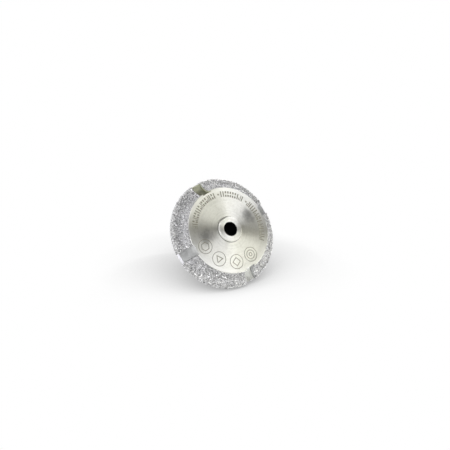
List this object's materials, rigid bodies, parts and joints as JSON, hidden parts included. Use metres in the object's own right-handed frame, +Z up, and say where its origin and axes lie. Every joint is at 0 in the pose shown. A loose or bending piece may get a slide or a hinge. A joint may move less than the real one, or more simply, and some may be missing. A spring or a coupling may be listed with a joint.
{
  "type": "diamond profile wheel",
  "caption": "Small steel profile wheel with a concave vacuum-brazed diamond rim, chip slots across it and a threaded hub for an angle grinder.",
  "frame": {"origin": "centre of the hub's rear seat, the ring face that meets the grinder's flange", "axes": "+Y along the spin axis, out of the threaded hole towards the grinder; the front face looks along -Y; +Z up, with a chip slot 16 degrees above +X"},
  "size_m": [0.05, 0.0297, 0.05],
  "materials": {
    "turned_steel": "fine concentric turning marks, bright",
    "hub_steel": "fine-turned, satin",
    "nickel_braze": "matt, slightly lumpy furnace braze",
    "diamond": "sharp sparkling grains wetted with braze"
  },
  "bodies": {
    "root": {"wheel_body": "turned_steel", "threaded_hub": "hub_steel", "hub_braze_fillet": "nickel_braze", "braze_layer_1": "nickel_braze", "braze_layer_2": "nickel_braze", "braze_layer_3": "nickel_braze", "braze_layer_4": "nickel_braze", "diamond_grit_1": "diamond", "diamond_grit_2": "diamond", "diamond_grit_3": "diamond", "diamond_grit_4": "diamond"}
  },
  "joints": []
}
